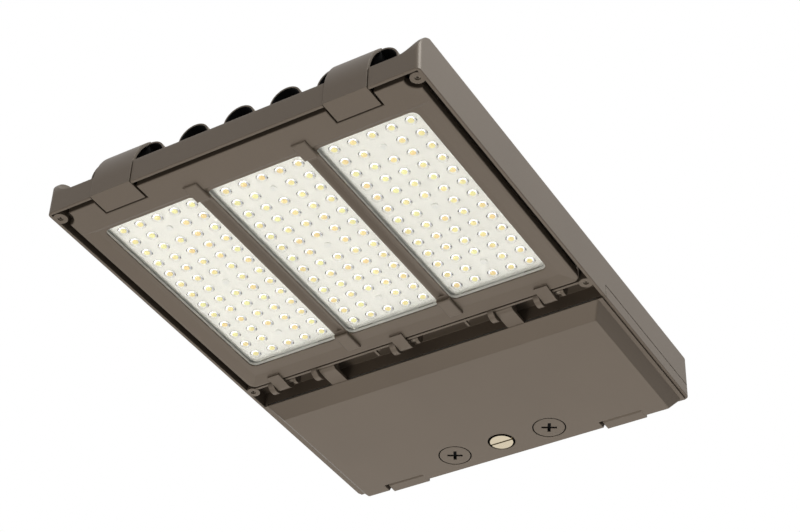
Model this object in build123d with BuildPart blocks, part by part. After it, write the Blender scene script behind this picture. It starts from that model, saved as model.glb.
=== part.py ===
"""Area light: a slim outdoor luminaire with a hinged optical door and a hinged driver door.

X runs across the light, Y runs back towards the arm and Z is up. The origin is the centre of the
rear mounting face. All sizes are in millimetres.
"""
import math
import os

from build123d import *

os.makedirs("parts", exist_ok=True)

# Emitting grid: three modules side by side, rows run across the light
grid_y = -331.0
grid_z = -18.0
module_names = ("left", "center", "right")
module_pitch = 101.3
column_pitch = 17.1
row_pitch = 16.0
column_count = 5
row_count = 13
screw_rows = (1, 6, 11)

# Emitters, boards and pads
chip_size = 3.4
chip_height = 0.9
board_width = 95.6
board_length = 220.6
board_thick = 1.6
pad_thick = 0.5
board_screw_radius = 1.5
board_screw_head_radius = 3.0
board_screw_head = 0.9
board_screw_bite = 3.5
jumper_width = 22.0
jumper_length = 8.0
jumper_height = 0.8
jumper_inset = -0.5

# Lenses and their seals
lens_view_width = 90.0
lens_view_length = 215.0
lens_corner = 6.0
lens_overlap = 2.3
lens_fit = 0.2
lens_drop = 1.6
lens_thick = 1.3
dome_radius = 4.9
dome_height = 2.6
seal_thick = 2.6

# Optical door frame
frame_half_width = 164.0
frame_front = 140.5
frame_rear = 132.6
frame_corner = 5.0
frame_rear_corner = 7.0
frame_round = 0.9
frame_lip = 2.8
notch_gap = 1.6
scallop_gap = 4.6
clip_length = 14.0
clip_width = 8.0
clip_thick = 0.8
clip_spread = 30.0
clip_bite = 2.0
door_seal_width = 3.6
door_seal_half_width = 151.6
door_seal_front = 119.0
door_seal_rear = 126.0
seal_clearance = 0.3
shoulder_rise = 1.6
shoulder_bite = 6.0
shoulder_width = 13.0
front_shoulder_length = 20.0
rear_shoulder_length = 23.0
shoulder_round = 1.4
bar_trough_width = 8.0
bar_trough_depth = 1.7
bar_trough_length = 196.0
dish_depth = 1.5
dish_half_width = 161.0
dish_inner_half_width = 151.0
dish_front = 112.5
dish_inner_front = 109.5
dish_rear = 130.6
dish_inner_rear = 119.0

# Housing rails and walls
housing_width = 345.0
front_reach = 147.6
rail_rise = 36.5
rail_corner = 4.0
rail_round = 2.5
rail_thick = 10.0
rail_nose = 24.0
skirt_thick = 2.8
rim_round = 0.7
rim_thick = 2.5
front_wall_rise = 16.0
end_wall_rise = 13.4
front_wall_thick = 4.0
front_flare_half_width = 170.5
front_flare_round = 19.0
front_flare_depth = 24.0
ledge_thick = 4.0
ledge_half_opening = 151.0
ledge_front = 126.0
ledge_rear = 130.0
boss_radius = 6.0
boss_x = 166.0
boss_y = 138.0
corner_screw_radius = 1.6
corner_screw_head_radius = 2.3
corner_screw_head = 1.6
corner_screw_sink = 0.9
corner_screw_socket = 1.2
corner_screw_socket_depth = 1.0
corner_screw_bite = 9.0

# Cover with half-round cooling ridges
ridge_pitch = 43.5
ridge_count = 7
ridge_radius = 14.8
ridge_wall = 2.0
ridge_axis_rise = 30.4
cover_front = 132.6
cover_rise = 27.0
ridge_end_margin = 1.0
cover_skin = 2.5
cover_fit = 0.3
cover_ledge_width = 12.0
cover_ledge_thick = 2.0
cover_screw_radius = 1.8
cover_screw_head_radius = 3.4
cover_screw_head = 1.8
cover_screw_bite = 3.0
cover_screw_inset = 5.0
cover_screw_ys = (-108.0, 0.0, 120.0)

# Heat sink
sink_half_width = 160.0
sink_front = 130.0
sink_rear = 133.0
sink_base = 5.0
fin_thick = 2.0
fin_step = 9.0
fin_front = 110.0
fin_rear = 100.0
fin_rise = 36.0
sink_screw_radius = 1.9
sink_screw_head_radius = 2.8
sink_screw_head = 1.6
sink_screw_bite = 3.0
sink_screw_x = 156.8
sink_screw_y = 78.0

# Hinge line that both doors share
hinge_back = 9.4
hinge_rise = 4.2
hinge_pin_radius = 2.5
hinge_fit = 0.06
knuckle_radius = 5.2
hook_radius = 6.9
hook_lead_angle = 6.0
hook_strap = 2.4
hook_reach = 8.0
hook_root_drop = 0.9
hook_width = 12.0
hook_xs = (-136.0, -10.0, 130.0)
block_width = 15.5
block_xs = (-88.5, 88.5)
lug_width = 5.5
lug_radius = 8.8
knuckle_gap = 0.6
stay_gap = 5.5
stay_thick = 3.0
bar_gap = 1.6
bar_thick = 2.2
bar_height = 3.9
rib_xs = (-37.5, 52.0)
rib_thick = 2.0
rib_length = 10.0

# Front latches
latch_x = 109.0
latch_width = 38.4
latch_proud = 0.8
latch_thick = 2.5
latch_bend_rise = 7.0
latch_arc = 58.0
latch_arc_sweep = 47.0
latch_toe = 21.7
latch_side_gap = 0.6
latch_pin_radius = 1.6
latch_knuckle_radius = 3.4
latch_knuckle_width = 7.2
latch_pin_back = 22.2
latch_pin_rise = 42.6
latch_web = 5.0
latch_web_angle = 43.0
ear_gap = 0.3
ear_thick = 2.5
ear_radius = 3.4
ear_foot = 12.5
ear_foot_back = 8.6
strap_clearance = 0.8
strap_notch_length = 3.0
strap_notch_rise = 41.6
ear_clearance = 0.6
ear_notch_length = 12.1

# Driver bay
cross_wall = 5.0
cross_back = 20.0
deck_thick = 4.0
rear_wall = 5.0
bay_seal_rise = 2.0
bay_ledge_thick = 4.5
bay_half_opening = 158.0
bay_rear_opening = 26.0
groove_rise = 4.5
groove_height = 1.0
groove_depth = 0.9
catch_x = 112.5
catch_gap = 1.8
catch_side_gap = 1.5
catch_inset = 2.0
catch_slope = 4.5
catch_drop = 8.5

# Driver door
flange_gap = 0.2
flange_thick = 1.3
flange_half_width = 169.5
flange_rear = 2.0
door_front_back = 18.7
tray_drop = 9.5
tray_front_slope = 14.2
tray_side_slope = 9.5
tray_side_inset = 3.5
tray_rear_slope = 5.5
tray_corner = 1.6
tray_round = 0.6
tray_floor = 2.5
cavity_half_width = 154.0
cavity_front_inset = 14.3
cavity_rear_inset = 0.5
bay_seal_width = 4.0
bay_seal_margin = 1.2
notch_width = 41.6
notch_depth = 18.8
arm_thick = 3.1
arm_overlap = 1.3

# Quarter-turn fasteners and the port plug
fastener_x = 48.8
fastener_inset = 32.3
fastener_radius = 14.2
fastener_recess_gap = 1.2
fastener_thick = 3.6
fastener_float = 0.4
fastener_shank_radius = 4.0
fastener_boss_wall = 2.6
fastener_fit = 0.06
cross_slot_length = 14.0
cross_slot_width = 2.9
cross_slot_depth = 2.6
cross_slot_turn = 28.5
cam_width = 9.0
cam_reach = 17.0
cam_thick = 3.0
cam_lift = 0.6
washer_radius = 5.6
washer_thick = 1.0
plug_radius = 10.6
plug_recess_radius = 12.7
plug_head = 3.2
plug_proud = 0.6
plug_slot_width = 1.8
plug_slot_depth = 2.0
plug_shank_radius = 4.5
plug_shank_fit = 0.1
plug_washer = 0.8
plug_nut_radius = 6.4
plug_nut_thick = 4.0

# Driver gear inside the bay
plate_half_width = 130.0
plate_length = 112.0
plate_front_gap = 16.0
plate_thick = 1.5
driver_width = 226.0
driver_length = 60.0
driver_height = 32.0
driver_front_gap = 8.0
driver_round = 3.0
surge_width = 52.0
surge_length = 34.0
surge_height = 28.0
surge_x = 88.0
terminal_width = 48.0
terminal_length = 22.0
terminal_height = 20.0
terminal_x = -88.0
terminal_ways = 3
gear_gap = 8.0
plate_screw_radius = 2.0
plate_screw_head_radius = 3.6
plate_screw_head = 2.2
plate_screw_bite = 3.0
plate_screw_inset = 7.0

# Lead from the driver to the boards
lead_x = 0.0
lead_radius = 2.4
lead_rise = 17.2
lead_down = 117.0
lead_bend = 8.0
lead_hole_gap = 0.6
grommet_radius = 4.0
grommet_flange = 1.0
grommet_flange_thick = 1.6
grommet_fit = 0.2
connector_width = 20.0
connector_length = 12.0
connector_height = 2.8

# Mount on the rear face
bolt_spacing = 76.0
bolt_radius = 5.25
wire_entry_radius = 11.0
mount_plate_width = 120.0
mount_plate_height = 25.0
mount_plate_fit = 0.2
mount_flange = 5.0
mount_flange_height = 28.4
mount_flange_thick = 6.0
mount_screw_z = 10.0
mount_screw_radius = 1.5
mount_screw_head_radius = 2.4
mount_screw_head = 1.8
mount_screw_bite = 3.0

# Levels that follow from the sizes above
half_width = housing_width / 2
board_low = grid_z + chip_height
pad_low = board_low + board_thick
sink_low = pad_low + pad_thick
sink_high = sink_low + sink_base
ledge_high = sink_high + ledge_thick
lens_low = grid_z - lens_drop
lens_high = lens_low + lens_thick
seal_low = lens_low - seal_thick
frame_low = seal_low - frame_lip
frame_high = lens_high
rail_low = frame_low
rail_top = grid_z + rail_rise
front_wall_top = grid_z + front_wall_rise
end_wall_top = grid_z + end_wall_rise
ridge_axis_z = grid_z + ridge_axis_rise
cover_high = grid_z + cover_rise
cover_low = cover_high - cover_skin
deck_low = rail_top - deck_thick
front_face = grid_y - front_reach
bay_front = front_face + front_wall_thick
hinge_y = grid_y + frame_rear + hinge_back
hinge_z = frame_low + hinge_rise
cross_front = hinge_y + cross_back
cross_rear = cross_front + cross_wall
bay_ledge_low = rail_low + bay_seal_rise
bay_ledge_high = bay_ledge_low + bay_ledge_thick
flange_high = rail_low - flange_gap
flange_low = flange_high - flange_thick
tray_low = flange_low - tray_drop
tray_floor_high = tray_low + tray_floor
door_front = hinge_y + door_front_back
fastener_y = -fastener_inset
rail_inner = half_width - rail_thick
skirt_inner = half_width - skirt_thick
module_xs = [(index - 1) * module_pitch for index in range(3)]
pocket_width = lens_view_width + 2 * (lens_overlap + lens_fit)
pocket_length = lens_view_length + 2 * (lens_overlap + lens_fit)
emitter_spots = [
    ((column - (column_count - 1) / 2) * column_pitch, (row - (row_count - 1) / 2) * row_pitch)
    for row in range(row_count)
    for column in range(column_count)
    if not (row in screw_rows and column == column_count // 2)
]
board_screw_spots = [(0, (row - (row_count - 1) / 2) * row_pitch) for row in screw_rows]
boss_spots = [(x, grid_y + y) for x in (-boss_x, boss_x) for y in (-boss_y, boss_y)]
ridge_xs = [(index - (ridge_count - 1) / 2) * ridge_pitch for index in range(ridge_count)]
ridge_rear = cross_front - cover_fit - ridge_radius - ridge_end_margin
latch_pin_y = front_face + latch_pin_back
latch_pin_z = grid_z + latch_pin_rise
slot_half = latch_width / 2 + latch_side_gap
ear_offset = latch_knuckle_width / 2 + ear_gap
lug_limit = boss_x - boss_radius - knuckle_gap
cover_screw_spots = [
    (side * (rail_inner - cover_screw_inset), grid_y + y) for side in (-1, 1) for y in cover_screw_ys
]
sink_screw_spots = [
    (x, grid_y + y) for x in (-sink_screw_x, sink_screw_x) for y in (-sink_screw_y, sink_screw_y)
]
strap_face = front_face - latch_proud
toe_end = strap_face + latch_toe
plug_recess = plug_head - plug_proud + plug_washer
plug_floor_high = tray_low + plug_recess + fastener_boss_wall
fastener_recess = fastener_thick + fastener_float
fastener_floor_high = tray_low + fastener_recess + fastener_boss_wall
plate_front = cross_rear + plate_front_gap
plate_low = deck_low - plate_thick
plate_screw_spots = [
    (side * (plate_half_width - plate_screw_inset), plate_front + y)
    for side in (-1, 1)
    for y in (plate_screw_inset, plate_length - plate_screw_inset)
]
mount_screw_spots = [
    (side * (mount_plate_width + mount_flange) / 2, z)
    for side in (-1, 1)
    for z in (-mount_screw_z, mount_screw_z)
]
driver_front = plate_front + driver_front_gap
gear_y = driver_front + driver_length + gear_gap + surge_length / 2


def span_box(x_span, y_span, z_span, mode=Mode.ADD):
    """Put a box between opposite corners into the part that is being built."""
    spans = (x_span, y_span, z_span)
    with Locations([tuple((low + high) / 2 for low, high in spans)]):
        Box(*(high - low for low, high in spans), mode=mode)


def rod(radius, start, length, axis, mode=Mode.ADD):
    """Put a round bar that starts at a point and runs along an axis into the part."""
    turns = {"x": (0, 90, 0), "y": (-90, 0, 0), "z": (0, 0, 0)}
    with Locations(Location(start, turns[axis])):
        Cylinder(radius, length, align=(Align.CENTER, Align.CENTER, Align.MIN), mode=mode)


def disc_cut(radius, start, length, axis):
    """Drill a round hole along an axis into the part that is being built."""
    rod(radius, start, length, axis, Mode.SUBTRACT)


def save(part, name):
    """Label a finished piece and write its file."""
    part.label = name
    export_step(part, f"parts/{name}.step")


def hinge_lug_profile(radius, top):
    """Draw a round eye on the hinge line with a neck up to a level, seen along X."""
    with Locations((hinge_y, hinge_z)):
        Circle(radius)
    with Locations((hinge_y, (hinge_z + top) / 2)):
        Rectangle(2 * radius, top - hinge_z)


# Main housing: rails, front wall, driver bay and hinge lugs in one casting
with BuildPart() as main_housing:
    with BuildSketch(Plane.XY.offset(rail_low)) as housing_plan:
        with Locations((0, front_face / 2)):
            Rectangle(housing_width, -front_face)
        fillet(housing_plan.vertices(), rail_corner)
    extrude(amount=rail_top - rail_low)
    fillet(main_housing.edges().group_by(Axis.Z)[-1], rail_round)
    fillet(main_housing.edges().group_by(Axis.Z)[0], rim_round)
    bay_y = (bay_front, cross_front)
    above = rail_top + ridge_radius
    # Optical bay below the ledge, plenum above it and the opening between them
    optics_y = (front_face + rim_thick, cross_front)
    span_box((-skirt_inner, skirt_inner), optics_y, (rail_low - 1, sink_high), Mode.SUBTRACT)
    span_box((-rail_inner, rail_inner), bay_y, (ledge_high, above), Mode.SUBTRACT)
    ledge_y = (grid_y - ledge_front, grid_y + ledge_rear)
    ledge_x = (-ledge_half_opening, ledge_half_opening)
    span_box(ledge_x, ledge_y, (sink_high - 1, ledge_high + 1), Mode.SUBTRACT)
    # Front wall stands lower than the rails, lowest outside the latches, and flares up into them
    with BuildSketch(Plane.XZ.offset(-front_face)) as flare:
        with Locations((0, end_wall_top)):
            foot = (Align.CENTER, Align.MIN)
            Rectangle(2 * front_flare_half_width, above - end_wall_top, align=foot)
            fillet(flare.vertices().group_by(Axis.Y)[0], front_flare_round)
            Rectangle(2 * latch_x, front_wall_top - end_wall_top, align=foot, mode=Mode.SUBTRACT)
    extrude(amount=-front_flare_depth, mode=Mode.SUBTRACT)
    # Rail noses are rounded down towards the front
    with BuildSketch(Plane.YZ.offset(-half_width)):
        with BuildLine():
            nose_start = (front_face, rail_top - rail_nose)
            nose_end = (front_face + rail_nose, rail_top)
            RadiusArc(nose_start, nose_end, rail_nose)
            Polyline(nose_end, (front_face, rail_top), nose_start)
        make_face()
    extrude(amount=housing_width, mode=Mode.SUBTRACT)
    # Ledges that carry the ridged cover
    cover_ledge_z = (cover_low - cover_ledge_thick, cover_low)
    cover_ledge_y = (grid_y - cover_front, cross_front)
    ledge_reach = rail_inner - cover_ledge_width
    span_box((ledge_reach, rail_inner), cover_ledge_y, cover_ledge_z)
    span_box((-rail_inner, -ledge_reach), cover_ledge_y, cover_ledge_z)
    span_box((-rail_inner, rail_inner), (cross_front - cover_ledge_width, cross_front), cover_ledge_z)
    # Driver bay, its lower opening and the recess for the door's seal
    bay_z = (bay_ledge_high, deck_low)
    bay_x = (-skirt_inner, skirt_inner)
    span_box(bay_x, (cross_rear, -rear_wall), bay_z, Mode.SUBTRACT)
    opening_x = (-bay_half_opening, bay_half_opening)
    opening_z = (bay_ledge_low - 1, bay_ledge_high + 1)
    span_box(opening_x, (cross_rear, -bay_rear_opening), opening_z, Mode.SUBTRACT)
    recess_z = (rail_low - 1, bay_ledge_low)
    span_box(bay_x, (cross_front - 1, -rear_wall), recess_z, Mode.SUBTRACT)
    # Corner bosses of the optical bay
    for spot in boss_spots:
        rod(boss_radius, (*spot, rail_low), sink_high - rail_low, "z")
    # Hinge bar, lugs, stays and ribs below the rear of the ledge
    bar_front = grid_y + frame_rear + bar_gap
    bar_z = (frame_low + knuckle_gap / 2, frame_low + knuckle_gap / 2 + bar_height)
    span_box((-boss_x, boss_x), (bar_front, bar_front + bar_thick), bar_z)
    for width, centers in ((hook_width, hook_xs), (block_width, block_xs)):
        for center in centers:
            with BuildSketch(Plane.YZ.offset(center - width / 2 - knuckle_gap - lug_width)):
                hinge_lug_profile(lug_radius, sink_high)
            extrude(amount=lug_width)
    for center in hook_xs:
        with BuildSketch(Plane.YZ.offset(center + hook_width / 2 + stay_gap)):
            hinge_lug_profile(knuckle_radius, sink_high)
        extrude(amount=stay_thick)
    for center in rib_xs:
        rib_y = (bar_front, bar_front + rib_length)
        span_box((center - rib_thick / 2, center + rib_thick / 2), rib_y, (bar_z[0], sink_high))
    disc_cut(hinge_pin_radius, (-lug_limit, hinge_y, hinge_z), 2 * lug_limit, "x")
    # Front wall slots for the latches, and the ears that carry their pins
    for side in (-1, 1):
        center = side * latch_x
        slot_x = (center - slot_half, center + slot_half)
        span_box(slot_x, (front_face - 1, bay_front), (rail_low - 1, above), Mode.SUBTRACT)
        for ear_low in (center - ear_offset - ear_thick, center + ear_offset):
            with BuildSketch(Plane.YZ.offset(ear_low)):
                with Locations((latch_pin_y, latch_pin_z)):
                    Circle(ear_radius)
                with BuildLine():
                    Polyline(
                        (latch_pin_y - ear_radius, latch_pin_z),
                        (latch_pin_y + ear_radius, latch_pin_z),
                        (front_face + ear_foot_back + ear_foot, sink_high),
                        (front_face + ear_foot_back, sink_high),
                        close=True,
                    )
                make_face()
            extrude(amount=ear_thick)
        pin_start = (center - ear_offset - ear_thick - 1, latch_pin_y, latch_pin_z)
        disc_cut(latch_pin_radius, pin_start, 2 * (ear_offset + ear_thick + 1), "x")
    # Rear lugs that fill the driver door's notches
    catch_y = (catch_gap - notch_depth, -catch_inset)
    catch_width = notch_width - 2 * catch_side_gap
    for side in (-1, 1):
        with BuildSketch(Plane.YZ.offset(side * catch_x - catch_width / 2)):
            with BuildLine():
                Polyline(
                    (catch_y[0], bay_ledge_low),
                    (catch_y[0], rail_low - catch_drop + catch_slope),
                    (catch_y[0] + catch_slope, rail_low - catch_drop),
                    (catch_y[1], rail_low - catch_drop),
                    (catch_y[1], bay_ledge_low),
                    close=True,
                )
            make_face()
        extrude(amount=catch_width)
    # Parting groove along the driver bay's sides
    groove_low = grid_z + groove_rise
    for side in (-1, 1):
        inner = side * (half_width - groove_depth)
        groove_x = tuple(sorted((inner, side * (half_width + 1))))
        span_box(groove_x, (cross_front, 1), (groove_low, groove_low + groove_height), Mode.SUBTRACT)
        front_line = (cross_front, cross_front + groove_height)
        span_box(groove_x, front_line, (rail_low - 1, groove_low + groove_height), Mode.SUBTRACT)
    # Window in the rear wall for the mounting plate, and the holes for its screws
    window_x = (-mount_plate_width / 2, mount_plate_width / 2)
    window_z = (-mount_plate_height / 2, mount_plate_height / 2)
    span_box(window_x, (-rear_wall - 1, 1), window_z, Mode.SUBTRACT)
    for x, z in mount_screw_spots:
        disc_cut(mount_screw_radius, (x, -rear_wall - 1, z), 1 + mount_screw_bite, "y")
    # Grommet hole in the cross wall
    disc_cut(grommet_radius, (lead_x, cross_front - 1, grid_z + lead_rise), cross_wall + 2, "y")
    # Screw holes: corner bosses, cover ledges, heat sink ledge and deck
    for spot in boss_spots:
        head_depth = corner_screw_sink + corner_screw_head
        disc_cut(corner_screw_head_radius, (*spot, rail_low - 1), 1 + head_depth, "z")
        disc_cut(corner_screw_radius, (*spot, rail_low), head_depth + corner_screw_bite, "z")
    for spot in cover_screw_spots:
        disc_cut(cover_screw_radius, (*spot, cover_low - cover_screw_bite), cover_screw_bite + 1, "z")
    for spot in sink_screw_spots:
        disc_cut(sink_screw_radius, (*spot, sink_high - 1), 1 + sink_screw_bite, "z")
    for spot in plate_screw_spots:
        disc_cut(plate_screw_radius, (*spot, deck_low - 1), 1 + plate_screw_bite, "z")
save(main_housing.part, "main_housing")

# Mounting plate that closes the rear wall's window and takes the arm's bolts
with BuildPart() as mount_plate:
    plate_x = mount_plate_width / 2 - mount_plate_fit
    plate_z = mount_plate_height / 2 - mount_plate_fit
    flange_x = mount_plate_width / 2 + mount_flange
    flange_z = mount_flange_height / 2
    flange_front = -rear_wall - mount_flange_thick
    span_box((-plate_x, plate_x), (-rear_wall, 0), (-plate_z, plate_z))
    span_box((-flange_x, flange_x), (flange_front, -rear_wall), (-flange_z, flange_z))
    for x in (-bolt_spacing / 2, bolt_spacing / 2):
        disc_cut(bolt_radius, (x, flange_front - 1, 0), 2 - flange_front, "y")
    disc_cut(wire_entry_radius, (0, flange_front - 1, 0), 2 - flange_front, "y")
    for x, z in mount_screw_spots:
        disc_cut(mount_screw_radius, (x, flange_front - 1, z), mount_flange_thick + 2, "y")
save(mount_plate.part, "mount_plate")

with BuildPart() as mount_plate_screws:
    for x, z in mount_screw_spots:
        head = (x, flange_front - mount_screw_head, z)
        rod(mount_screw_head_radius, head, mount_screw_head, "y")
        shank = mount_flange_thick + mount_screw_bite
        rod(mount_screw_radius, (x, flange_front, z), shank, "y")
save(mount_plate_screws.part, "mount_plate_screws")

with BuildPart() as corner_screws:
    head_low = rail_low + corner_screw_sink
    for spot in boss_spots:
        rod(corner_screw_head_radius, (*spot, head_low), corner_screw_head, "z")
        rod(corner_screw_radius, (*spot, head_low), corner_screw_head + corner_screw_bite, "z")
    with BuildSketch(Plane.XY.offset(head_low)):
        with Locations(boss_spots):
            RegularPolygon(corner_screw_socket, 6)
    extrude(amount=corner_screw_socket_depth, mode=Mode.SUBTRACT)
save(corner_screws.part, "corner_screws")

# Cover over the cooling plenum: a skin with hollow half-round ridges, open at the front
with BuildPart() as fin_cover:
    skin_half = rail_inner - cover_fit
    skin_y = (grid_y - cover_front, cross_front - cover_fit)
    span_box((-skin_half, skin_half), skin_y, (cover_low, cover_high))
    ridge_length = ridge_rear - skin_y[0]
    for x in ridge_xs:
        rod(ridge_radius, (x, skin_y[0], ridge_axis_z), ridge_length, "y")
        with Locations((x, ridge_rear, ridge_axis_z)):
            Sphere(ridge_radius)
    for x in ridge_xs:
        disc_cut(ridge_radius - ridge_wall, (x, skin_y[0] - 1, ridge_axis_z), ridge_length + 1, "y")
        with Locations((x, ridge_rear, ridge_axis_z)):
            Sphere(ridge_radius - ridge_wall, mode=Mode.SUBTRACT)
    below = (ridge_axis_z - 2 * ridge_radius, cover_low)
    span_box((-half_width, half_width), (skin_y[0] - 1, cross_front + 1), below, Mode.SUBTRACT)
    for spot in cover_screw_spots:
        disc_cut(cover_screw_radius, (*spot, cover_low - 1), cover_skin + 2, "z")
    # Room for the latches' straps over the ridge mouths, and for their ears between two ridges
    strap_half = latch_width / 2 + strap_clearance
    ear_half = ear_offset + ear_thick + ear_clearance
    for center in (-latch_x, latch_x):
        strap_y = (skin_y[0] - 1, skin_y[0] + strap_notch_length)
        strap_z = (grid_z + strap_notch_rise, ridge_axis_z + ridge_radius + 1)
        span_box((center - strap_half, center + strap_half), strap_y, strap_z, Mode.SUBTRACT)
        ear_y = (skin_y[0] - 1, skin_y[0] + ear_notch_length)
        ear_z = (cover_low - 1, cover_high + 1)
        span_box((center - ear_half, center + ear_half), ear_y, ear_z, Mode.SUBTRACT)
save(fin_cover.part, "fin_cover")

with BuildPart() as cover_screws:
    for spot in cover_screw_spots:
        rod(cover_screw_head_radius, (*spot, cover_high), cover_screw_head, "z")
        shank = cover_skin + cover_screw_bite
        rod(cover_screw_radius, (*spot, cover_high - shank), shank, "z")
save(cover_screws.part, "cover_screws")

# Heat sink: the roof of the optical bay, with fins that stand up into the ridges
with BuildPart() as heat_sink:
    sink_y = (grid_y - sink_front, grid_y + sink_rear)
    span_box((-sink_half_width, sink_half_width), sink_y, (sink_low, sink_high))
    for ridge_x in ridge_xs:
        for step in (-fin_step, 0, fin_step):
            fin_x = (ridge_x + step - fin_thick / 2, ridge_x + step + fin_thick / 2)
            fin_y = (grid_y - fin_front, grid_y + fin_rear)
            span_box(fin_x, fin_y, (sink_high, grid_z + fin_rise))
    for spot in sink_screw_spots:
        disc_cut(sink_screw_radius, (*spot, sink_low - 1), sink_base + 2, "z")
    for module_x in module_xs:
        for x, y in board_screw_spots:
            hole = (module_x + x, grid_y + y, sink_low - 1)
            disc_cut(board_screw_radius, hole, 1 + board_screw_bite, "z")
    lead_hole = (lead_x, grid_y + lead_down, sink_low - 1)
    disc_cut(lead_radius + lead_hole_gap, lead_hole, sink_base + 2, "z")
save(heat_sink.part, "heat_sink")

with BuildPart() as sink_screws:
    for spot in sink_screw_spots:
        rod(sink_screw_head_radius, (*spot, sink_low - sink_screw_head), sink_screw_head, "z")
        rod(sink_screw_radius, (*spot, sink_low), sink_base + sink_screw_bite, "z")
save(sink_screws.part, "sink_screws")

# Light boards with their pads, emitters, screws and jumpers
for module_name, module_x in zip(module_names, module_xs):
    with BuildPart() as led_board:
        with BuildSketch(Plane.XY.offset(board_low)):
            with Locations((module_x, grid_y)):
                Rectangle(board_width, board_length)
                with Locations(board_screw_spots):
                    Circle(board_screw_radius, mode=Mode.SUBTRACT)
        extrude(amount=board_thick)
    save(led_board.part, f"led_board_{module_name}")

    with BuildPart() as led_chips:
        with BuildSketch(Plane.XY.offset(grid_z)):
            with Locations((module_x, grid_y)):
                with Locations(emitter_spots):
                    Rectangle(chip_size, chip_size)
        extrude(amount=chip_height)
    save(led_chips.part, f"led_chips_{module_name}")

with BuildPart() as thermal_pads:
    with BuildSketch(Plane.XY.offset(pad_low)):
        for module_x in module_xs:
            with Locations((module_x, grid_y)):
                Rectangle(board_width, board_length)
                with Locations(board_screw_spots):
                    Circle(board_screw_radius, mode=Mode.SUBTRACT)
    extrude(amount=pad_thick)
save(thermal_pads.part, "thermal_pads")

with BuildPart() as board_screws:
    for module_x in module_xs:
        for x, y in board_screw_spots:
            spot = (module_x + x, grid_y + y)
            rod(board_screw_head_radius, (*spot, board_low - board_screw_head), board_screw_head, "z")
            rod(board_screw_radius, (*spot, board_low), sink_low + board_screw_bite - board_low, "z")
save(board_screws.part, "board_screws")

with BuildPart() as board_jumpers:
    jumper_y = grid_y + board_length / 2 - jumper_inset
    for side in (-1, 1):
        with Locations((side * module_pitch / 2, jumper_y, board_low - jumper_height / 2)):
            Box(jumper_width, jumper_length, jumper_height)
save(board_jumpers.part, "board_jumpers")

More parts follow.
